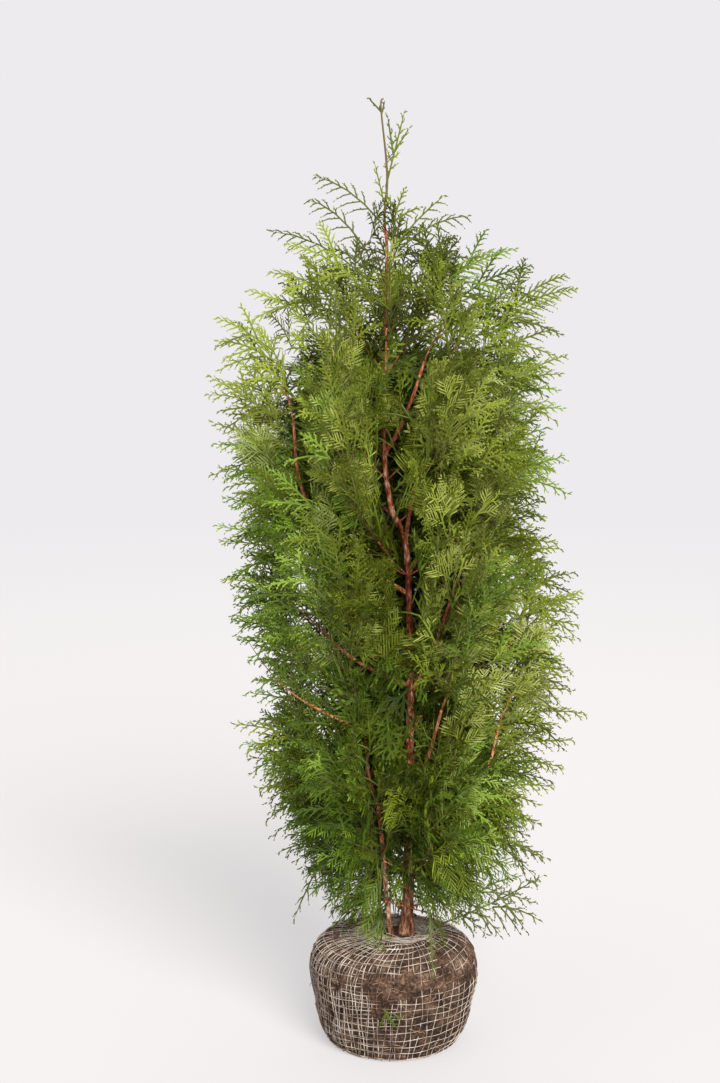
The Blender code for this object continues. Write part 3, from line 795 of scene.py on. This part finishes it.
def inner_rows(rng):
    """Coarse sprays in the two darkest tints, as painted shade, round the trunk, most at its back, and more
    of them beside its bend.
    """
    for height in np.append(np.linspace(0.3, 1.16, INNER_SPRAYS), np.linspace(0.84, 1.08, BEND_SPRAYS)):
        azimuth = rng.uniform(0, math.pi) if rng.uniform() < 0.5 else rng.uniform(0, 2 * math.pi)
        out = np.array([math.cos(azimuth), math.sin(azimuth), 0.0])
        far = float(reach(azimuth, height, BODY_LEFT, BODY_RIGHT))
        start = trunk_at(height) + out * rng.uniform(0.04, 0.5) * far
        if not clear_of_windows(start[None] + 0.03 * UP, rng, 0.02)[0]:
            continue
        heading = out + rng.normal(0, 0.6, 3) + 0.3 * UP
        normal, length = rng.normal(0, 1, 3), rng.uniform(0.07, 0.12)
        yield spray(start, heading, normal, length, 0.4, "inner", rng.integers(0, 4))


def leader_rows(rng):
    """The sprays of the top, and a twig from the trunk to the base of each."""
    rows, twigs = [], []
    for kind, x, z, tip_x, tip_z, arch in LEADER_SPRAYS:
        x, z, tip_x, tip_z = mm((x, z, tip_x, tip_z))
        start, end = np.array([x, 0.0, z]), np.array([tip_x, rng.uniform(-0.01, 0.01), tip_z])
        length = np.linalg.norm(end - start)
        heading = (end - start) / length + arch / 2 * UP
        grown = np.linalg.norm(heading)
        normal = (rng.normal(0, 0.3), -1.0, 0.2)
        rows.append(spray(start, heading, normal, length * grown, arch / grown, kind, rng.choice((2, 2, 4))))
        root = trunk_at(z - 0.004 - 0.7 * abs(x + 0.016))
        twigs.append((bend(root, (root + start) / 2 + 0.1 * (start - root)[0] * UP, start, 8), *LEADER_TWIG))
    return twigs, rows


def hanging_rows(rng):
    """The strands that hang round the foot, each aimed above its tip by as much as it falls."""
    for start, end, fall, kind in HANGING_SPRAYS:
        start, end = mm((start, end))
        heading = end - start + fall / 2 * np.linalg.norm(end - start) * UP
        normal = (rng.normal(0, 0.2), -1.0, 0.5)
        # Painted shade: open strands round the foot take the darkest tints, and full ones a little lighter.
        tint = rng.integers(2, 6) if kind == "full" else rng.integers(0, 3)
        yield spray(start, heading, normal, np.linalg.norm(heading), fall, kind, tint)


def outlying_rows(rng):
    """Long open fronds that make the outline on both sides, about 4 cm apart.
    Their tips draw in and out together in clusters."""
    for side in (-1, 1):
        for height in np.linspace(0.2, 1.34, 29) + rng.uniform(-0.012, 0.012, 29):
            azimuth = 0.0 if side > 0 else math.pi
            depth = rng.uniform(-0.05, 0.04)
            cluster = 0.97 + 0.08 * float(lumps(np.array([[side, 0.0, height]]), 0.075, 9)[0])
            far = float(reach(azimuth, height)) * min(1.03, cluster + rng.uniform(-0.03, 0.03))
            end = np.array([side * far, depth, height])
            rise = 0.6 * np.interp(height, LIFT_HEIGHTS, LIFT) + rng.normal(0, 0.12)
            heading = unit(np.array([side, rng.normal(0, 0.15), rise]))
            length = min(rng.uniform(0.115, 0.16), abs(end[0]) * 1.1)
            fall = rng.uniform(0.2, 0.7) + np.interp(height, (0.3, 0.5), (0.35, 0))
            start = end - length * (heading - fall / 2 * UP)
            normal = (rng.normal(0, 0.25), -1.0, rng.normal(0, 0.25))
            # Painted shade: outline fronds are a step darker than their place gives, and two on the right or
            # low down.
            tint = darker(painted_light_tint(end, rng))
            if side > 0 or height < PAINTED_SHADE_BELOW:
                tint = darker(tint)
            kind = "fan" if height < 1.12 else "plume"
            yield from frond(start, heading, normal, length, fall, kind, tint, rng)


def limb(line, radii, sides, seed):
    """A limb with bark: a tube that swells by papery ridges, which are noise drawn out along it."""
    ring = rings_round(line, np.array([0.0, -1.0, 0.0]), sides)
    skin = ring * np.array(radii)[:, None, None] / RIDGE_WIDTH
    skin += (distances(line) / RIDGE_LENGTH)[:, None, None] * UP
    ridges = 0.7 * (1 - 2 * np.abs(lumps(skin, 1.0, seed))) + 0.3 * lumps(skin, 0.4, seed + 1)
    swell = np.array(radii)[:, None] * (1 + BARK_RELIEF * ridges)
    body = line[:, None] + swell[..., None] * ring
    return np.vstack([body.reshape(-1, 3), line[:1], line[-1:]]), tube_faces(len(line), sides)


def trunk_radii(heights):
    """The trunk's taper, quicker near the foot, and a flare that dies away above the ball."""
    share = (heights - BALL_TOP) / (TRUNK_LINE[-1][2] / 1000 - BALL_TOP)
    flare = FLARE * np.exp(-(heights - BALL_TOP) / FLARE_HEIGHT)
    return TRUNK_RADII[0] + (TRUNK_RADII[1] - TRUNK_RADII[0]) * share**0.7 + flare


def make_wood(bark, young_bark, twig_bark, old_bark):
    """Trunk, side stem and boughs with their bark, weathered near the ball with a ragged edge."""
    line = curve_through(TRUNK_LINE, 330)
    vertices, faces = limb(line, trunk_radii(line[:, 2]), 24, 1)
    corners = vertices[faces[:, 0]]
    ragged = corners[:, 2] + 0.06 * lumps(corners, 0.01, 7)
    slots = np.where(corners[:, 2] > GREEN_TRUNK_ABOVE, 1, np.where(ragged < 0.38, 2, 0))
    trunk = new_piece("trunk_bark", vertices, faces, [bark, twig_bark, old_bark], slots, smooth=True)
    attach(trunk, "root")
    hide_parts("trunk")
    line = curve_through(SIDE_STEM_LINE, 90)
    vertices, faces = limb(line, np.linspace(0.0044, 0.0024, 91), 16, 2)
    corners = vertices[faces[:, 0]]
    slots = corners[:, 2] + 0.06 * lumps(corners, 0.01, 7) < 0.36
    stem = new_piece("side_stem_bark", vertices, faces, [young_bark, old_bark], slots, smooth=True)
    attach(stem, "root")
    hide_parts("side_stem")
    radii = np.linspace(0.004, 0.0022, 61)
    lines = [curve_through(points, 60) for points in BOUGHS.values()]
    parts = [limb(line, radii, 12, seed) for seed, line in enumerate(lines, 3)]
    boughs = new_piece("bough_bark", *joined(parts), [young_bark], smooth=True)
    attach(boughs, "root")
    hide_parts(*(f"bough_{name}" for name in BOUGHS))


def planned_tiers(rng):
    """Each tier's twigs, its rows of sprays and the nodes that they stand for."""
    tiers = {}
    for name, (line, girth) in mass_lines().items():
        twigs, rows = grow_mass(line, girth, rng)
        known = tiers.setdefault(name.split("_")[0], ([], [], []))
        known[0].extend(twigs)
        known[1].extend(rows)
        known[2].append("foliage_" + name)
    tiers["top"] = ([], [], ["foliage_" + name for name in TOP_MASSES])
    heights = {tier: (foot + tip) / 2 for tier, foot, tip, *_ in TIERS} | {"top": 1.42}
    for row in outlying_rows(rng):
        nearest = min(heights, key=lambda tier: abs(heights[tier] - row[0][2]))
        tiers[nearest][1].append(row)
    twigs, rows = leader_rows(rng)
    tiers["top"][0].extend(twigs)
    tiers["top"][1].extend(rows)
    tiers["skirt"][1].extend(hanging_rows(rng))
    tiers["top"][1].extend(inner_rows(rng))
    return tiers


def make_twigs(name, twigs, sprays, materials):
    """A tier's woody twigs, and the green spine at the base of each spray."""
    wood = tubes(
        np.array([evenly(line, 8) for line, _, _ in twigs]),
        np.array([np.linspace(thick, thin, 9) for _, thick, thin in twigs]),
        4,
        np.array([0.31, -0.22, 0.11]),
    )
    n = len(sprays["length"])
    places, _, normals = along(sprays, np.broadcast_to(np.linspace(-0.02, 0.5, 3), (n, 3)))
    spines = tubes(places, np.linspace(0.0007, 0.0005, 3), 3, normals)
    each = [0 if thick >= BARE_TWIG[0] else 1 for _, thick, _ in twigs]
    slots = np.concatenate([np.repeat(each, len(wood[1]) // len(twigs)), np.full(len(spines[1]), 2)])
    return new_piece(name, *joined([wood, spines]), materials, slots, smooth=True)


def make_foliage(lit_and_shaded_greens, young_bark, twig_bark, shoot_green):
    """Leaves and twigs, one piece of each to a tier, without the sprays that would fill a window."""
    rng = np.random.default_rng(SPRAY_SEED)
    for tier, (twigs, rows, nodes) in planned_tiers(rng).items():
        sprays = as_shoots(rows)
        sprays = kept(sprays, clear_of_windows(points_at(sprays, 0.5), rng))
        vertices, faces, tints = grow_sprays(sprays, rng)
        # The leaf materials are one green at steps of painted light and shade.
        leaves = new_piece(f"{tier}_leaves", vertices, faces, lit_and_shaded_greens, tints)
        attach(leaves, "root")
        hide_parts(*nodes)
        twig = make_twigs(f"{tier}_twigs", twigs, sprays, [young_bark, twig_bark, shoot_green])
        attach(twig, "root")


# ---- the root ball
BALL_CURVE = curve_through([(r, 0.0, z) for r, z in BALL_PROFILE], 200)
BALL_RUN = distances(BALL_CURVE)
BALL_RADIUS, BALL_HEIGHT = BALL_CURVE[:, 0].clip(0), BALL_CURVE[:, 2].clip(0)


def on_ball(run, turn, lift=0.0):
    """Points of the ball's skin by distance from the middle of the underside and by azimuth, raised by lift.
    The skin is the turned profile with broad lumps on its side."""
    radius = np.interp(run, BALL_RUN, BALL_RADIUS)
    height = np.interp(run, BALL_RUN, BALL_HEIGHT)
    slope_r = np.interp(run, BALL_RUN, np.gradient(BALL_RADIUS, BALL_RUN))
    slope_z = np.interp(run, BALL_RUN, np.gradient(BALL_HEIGHT, BALL_RUN))
    smooth = np.stack([radius * np.cos(turn), radius * np.sin(turn), height], axis=-1)
    broad = 0.0045 * lumps(smooth, 0.075, 5) + 0.0016 * lumps(smooth, 0.022, 6)
    broad = broad * (height / 0.03).clip(0, 1) * ((radius - 0.02) / 0.05).clip(0, 1)
    outwards = np.stack([slope_z * np.cos(turn), slope_z * np.sin(turn), -slope_r], axis=-1)
    points = smooth + (broad + lift)[..., None] * unit(outwards)
    points[..., 2] = points[..., 2].clip(0)
    return points


def weld(piece):
    """Merges the rings that have shrunk to a point at the poles."""
    shape = bmesh.new()
    shape.from_mesh(piece.data)
    bmesh.ops.remove_doubles(shape, verts=shape.verts, dist=1e-6)
    bmesh.ops.recalc_face_normals(shape, faces=shape.faces)
    shape.to_mesh(piece.data)
    shape.free()


def make_ball(soil):
    """The ball's skin, roughened by crumbs and by earth that comes through the net, and flat underneath."""
    rings, around = 150, 340
    levels, turns = np.linspace(0, BALL_RUN[-1], rings), np.linspace(0, 2 * math.pi, around, endpoint=False)
    run, turn = np.meshgrid(levels, turns, indexing="ij")
    skin = on_ball(run, turn)
    crumbs = 0.0011 * lumps(skin, 0.0045, 7) + 0.0016 * lumps(skin, 0.012, 8) + 0.001 * worn(run, turn)
    crumbs *= (skin[..., 2] / 0.006).clip(0, 1)
    vertices = on_ball(run, turn, crumbs).reshape(-1, 3)
    faces = np.stack(grid_sides(rings, around), 1)
    ball = new_piece("soil_ball", vertices, faces, [soil], smooth=True)
    weld(ball)
    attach(ball, "root")
    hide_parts("root_ball")


def worn(run, turn):
    """Where earth has been rubbed through the net, 0 to 1.
    That is a band under the shoulder on the right front, and scattered patches."""
    height = np.interp(run, BALL_RUN, BALL_HEIGHT)
    place = np.stack([0.14 * np.cos(turn), 0.14 * np.sin(turn), height], axis=-1)
    band = np.exp(-(((height - 0.138) / 0.02) ** 2)) * (0.34 + 0.42 * np.cos(turn - math.radians(300)))
    level = band + 0.5 * lumps(place, 0.04, 12) + 0.3 * lumps(place, 0.014, 13)
    return ((level - 0.3) / 0.3).clip(0, 1)


def net_lines():
    """The net's strings as distances from the middle of the underside and azimuths, with a layer's number.
    Uprights stand closest on the left front, and rings dip to one side.
    A second, slanting layer covers the left front, where the net is doubled."""
    lines = []
    for number in range(64):
        even = 2 * math.pi * number / 64
        turn = even + 0.35 * math.sin(even - math.radians(35))
        run = np.arange(0.045, BALL_RUN[-1] - 0.034, 0.0045)
        sway = 0.1 * np.sin(run / 0.11 + 0.7 * math.sin(turn)) + 0.016 * np.sin(run / 0.019 + 2.4 * number)
        lines.append((run, turn + sway + 0.25 * ((run - 0.26) / 0.08).clip(0, 1) ** 2, 0))
    turn = np.linspace(0, 2 * math.pi, 200)
    for number, level in enumerate(np.arange(0.05, BALL_RUN[-1] - 0.036, NET_CELL)):
        dip = 0.0045 * np.sin(turn + 0.8) + 0.0025 * np.sin(3 * turn + 0.5 * number)
        dip += 0.001 * np.sin(11 * turn + 1.9 * number)
        lines.append((level + dip, turn, 1))
    for number in range(15):
        run = np.arange(0.088, 0.285, 0.0045)
        turn = math.radians(176 + 6.6 * number) + 0.75 * (run - 0.16)
        turn += 0.02 * np.sin(run / 0.015 + 1.7 * number)
        lines.append((run, turn, 2))
    for number in range(13):
        turn = np.linspace(math.radians(168), math.radians(272), 50)
        run = 0.098 + 0.0145 * number + 0.02 * np.sin(turn - math.radians(200))
        run += 0.0015 * np.sin(9 * turn + number)
        lines.append((run, turn, 2))
    return lines


def make_net(string, soiled, muddy_string):
    """The string net, sunk into the skin where it is muddy, and the loops of its mouth round the trunk."""
    parts, slots = [], []
    for run, turn, layer in net_lines():
        muddy = worn(run, turn)
        rise = (0.001, 0.0016, 0.0023)[layer] - 0.0014 * muddy
        rise = rise + 0.0005 * lumps(np.stack([run, turn * 0.14, run * 0 + layer], axis=1), 0.02, 9)
        line = on_ball(run, turn, rise)
        line[:, 2] = np.maximum(line[:, 2], STRING)
        outwards = unit(line - BALL_MIDDLE)
        parts.append(tubes(line[None], STRING, 3, outwards))
        ring = parts[-1][1][:, 0] // 3
        slots.append(np.where(muddy[ring.clip(0, len(line) - 1)] > 0.35, 2, 1 if layer == 2 else 0))
    rng = np.random.default_rng(5)
    turn = np.linspace(0, 2 * math.pi, 60)
    for _ in range(16):
        radius = 0.04 + 0.012 * rng.uniform(-1, 1) + 0.005 * np.sin(2 * turn + rng.uniform(0, 6))
        radius += 0.0025 * np.sin(5 * turn + rng.uniform(0, 6))
        height = BALL_TOP + 0.0045 + rng.uniform(-0.0015, 0.004)
        height = height + 0.002 * np.sin(3 * turn + rng.uniform(0, 6))
        line = np.stack([0.014 + radius * np.cos(turn), -0.006 + radius * np.sin(turn), height], axis=1)
        parts.append(tubes(line[None], STRING, 3, np.array([0.1, 0.05, 1.0])))
        slots.append(np.zeros(len(parts[-1][1])))
    strings = [string, soiled, muddy_string]
    net = new_piece("net", *joined(parts), strings, np.concatenate(slots), smooth=True)
    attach(net, "root")


def make_rootlets(root):
    """Fine roots that lie on the ball's side and wander a little, with a few that stand off it."""
    rng = np.random.default_rng(9)
    n, steps = 90, np.arange(9)

    def wander(low, high, jitter, drift):
        """Values along each root that start between low and high, and change by chance and by a drift."""
        path = rng.uniform(low, high, (n, 1)) + np.cumsum(rng.normal(0, jitter, (n, 9)), axis=1)
        return path + rng.uniform(-drift, drift, (n, 1)) * steps

    run = wander(0.1, 0.27, 0.0016, 0.0025)
    turn = wander(0, 2 * math.pi, 0.012, 0.03)
    loose = rng.uniform(0, 1, (n, 1)) ** 6 * 0.012 * np.linspace(0, 1, 9) ** 2
    lines = on_ball(run, turn, 0.0012 + loose)
    lines[..., 2] = np.maximum(lines[..., 2], 0.0008)
    outwards = unit(lines - BALL_MIDDLE)
    roots = new_piece("rootlets", *tubes(lines, 0.00045, 3, outwards), [root], smooth=True)
    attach(roots, "root")


def soil_material():
    """Moist earth, dark: paler crumbs of 5 mm, clods of 3 cm, and paler by height from 11 cm up to the top.
    """
    settings = {"Roughness": 0.95, "IOR": 1.4, "Specular IOR Level": 0.12}
    made, tree, shader = new_material("moist_earth", settings)
    place = add_node(tree, "TexCoord", {}, "Object")
    fine = {"Vector": place, "Scale": 1 / 0.005, "Detail": 5.0, "Roughness": 0.7}
    crumbs = add_node(tree, "TexNoise", fine)
    clods = add_node(tree, "TexNoise", {"Vector": place, "Scale": 1 / 0.028, "Detail": 3.0})
    height = add_node(tree, "SeparateXYZ", {"Vector": place}, "Z")
    # The ball's upper part is made paler by height alone.
    shoulder = {"Value": height, "From Min": 0.108, "From Max": 0.15, "To Max": 0.06}
    paler_upper_part = add_node(tree, "MapRange", shoulder)
    both = add_node(tree, "Math", {"operation": "MULTIPLY_ADD", 0: clods, 1: 0.6, 2: crumbs})
    level = add_node(tree, "Math", {"operation": "ADD", 0: both, 1: paler_upper_part})
    stops = ((0.55, "#181110"), (0.78, "#33261F"), (0.95, "#594537"), (1.0, "#755F4F"))
    ramp = add_node(tree, "ValToRGB", {"Fac": level, "stops": stops})
    relief = add_node(tree, "Bump", {"Strength": 0.8, "Distance": 0.002, "Height": crumbs})
    set_node(tree, shader, {"Base Color": ramp, "Normal": relief})
    return made


def string_material(name, stops):
    """Cotton string, rough and without gloss, stained by earth in places 2 cm across."""
    made, tree, shader = new_material(name, {"Roughness": 0.9, "IOR": 1.5, "Specular IOR Level": 0.15})
    place = add_node(tree, "TexCoord", {}, "Object")
    stains = {"Vector": place, "Scale": 1 / 0.022, "Detail": 4.0, "Roughness": 0.65}
    ramp = add_node(tree, "ValToRGB", {"Fac": add_node(tree, "TexNoise", stains), "stops": stops})
    set_node(tree, shader, {"Base Color": ramp})
    return made


# ---- the stage
def make_stage():
    """A pale room, and a floor that fades into it with distance."""
    pale = linear("#EDEBED")
    world = bpy.data.worlds.new("pale_room")
    world.use_nodes = True
    tree = world.node_tree
    seen = add_node(tree, "LightPath", {}, "Is Camera Ray")
    strength = add_node(tree, "MapRange", {"Value": seen, "To Min": ROOM_LIGHT, "To Max": 1.0})
    set_node(tree, tree.nodes["Background"], {"Color": pale, "Strength": strength})
    bpy.context.scene.world = world
    settings = {"Base Color": linear("#C4C1BF"), "Roughness": 0.7, "Specular IOR Level": 0.1}
    made, tree, shader = new_material("pale_floor", settings)
    place = add_node(tree, "TexCoord", {}, "Object")
    settings = {
        "Value": add_node(tree, "VectorMath", {"operation": "LENGTH", 0: place}, "Value"),
        "From Min": 1.2, "From Max": 6.0, "To Min": 0.52, "interpolation_type": "SMOOTHSTEP",
    }
    fade = add_node(tree, "MapRange", settings)
    glow = add_node(tree, "Emission", {"Color": pale, "Strength": 1.0})
    mix = add_node(tree, "MixShader", {0: fade, 1: shader.outputs[0], 2: glow})
    set_node(tree, tree.nodes["Material Output"], {"Surface": mix})
    corners = 40.0 * np.array([[-1, -1, 0], [1, -1, 0], [1, 1, 0], [-1, 1, 0]])
    floor = new_piece("floor", corners, np.array([[0, 1, 2, 3]]), [made])


def add_sun(name, towards, spread, strength, colour):
    """A soft light from far off, by the direction it stands in and its width in degrees."""
    data = bpy.data.lights.new(name, "SUN")
    data.angle, data.energy, data.color = math.radians(spread), strength, colour
    lamp = new_object(name, data)
    x, y, z = towards
    lamp.rotation_euler = (math.atan2(math.hypot(x, y), z), 0, math.atan2(x, -y))


def make_camera():
    """The camera, a step to the left of the plant's middle and pitched down."""
    data = bpy.data.cameras.new("camera")
    data.lens, data.sensor_width = CAMERA_LENS, 36.0
    camera = new_object("camera", data)
    camera.location = CAMERA_PLACE
    camera.rotation_euler = (math.radians(90 - CAMERA_PITCH), 0, 0)
    bpy.context.scene.camera = camera


def main():
    """Camera, wood, foliage, ball, net and roots, then the stage and its lights."""
    make_camera()
    # The palest stop of each bark ramp is partly painted highlight and partly pale lifted strips.
    stops = ((0.58, "#43180F"), (0.68, "#7E3822"), (0.78, "#AC5E3C"), (0.9, "#DEBAA0"))
    bark = bark_material("trunk_bark_strips", stops)
    stops = ((0.58, "#3E2418"), (0.7, "#6A4230"), (0.8, "#94664A"), (0.92, "#C4A68C"))
    old_bark = bark_material("old_brown_bark", stops)
    stops = ((0.58, "#7A3722"), (0.72, "#A85834"), (0.92, "#D69A72"))
    young_bark = bark_material("young_red_bark", stops, grain=0.003)
    # One leaf material for each step of painted light and shade.
    greens = [leaf_material(number, code) for number, code in enumerate(LEAF_LIGHT_AND_SHADE_TINTS, 1)]
    # Green wood and first-year bark, too thin for their grain to show: an even soft green and a dull brown.
    shoot_green, _, _ = new_material("green_shoot", {"Base Color": linear("#5F6E2A"), "Roughness": 0.6})
    twig_bark, _, _ = new_material("green_brown_twig", {"Base Color": linear("#5A4A24"), "Roughness": 0.7})
    make_wood(bark, young_bark, twig_bark, old_bark)
    make_foliage(greens, young_bark, twig_bark, shoot_green)
    make_ball(soil_material())
    make_net(
        string_material("cotton_string", ((0.36, "#78695C"), (0.5, "#AFA092"), (0.68, "#D8CEC4"))),
        string_material("earthy_string", ((0.36, "#54443A"), (0.52, "#85756A"), (0.7, "#B3A598"))),
        string_material("muddy_string", ((0.36, "#4E3B2F"), (0.52, "#73594A"), (0.7, "#94796A"))),
    )
    # Fine roots: dry and pale brown, thinner than a string.
    root, _, _ = new_material("fine_root", {"Base Color": linear("#9A7B60"), "Roughness": 0.9})
    make_rootlets(root)
    make_stage()
    add_sun("key", (1.0, -2.6, 2.0), 35.0, 5.5, (1.0, 0.985, 0.95))
    add_sun("wall_glow", (0.4, 2.6, 1.0), 100.0, 1.1, (1.0, 1.0, 1.0))
    add_sun("fill", (-2.4, -1.8, 1.3), 60.0, 0.5, (0.96, 0.98, 1.0))
    bpy.context.scene.view_settings.view_transform = "Standard"


main()
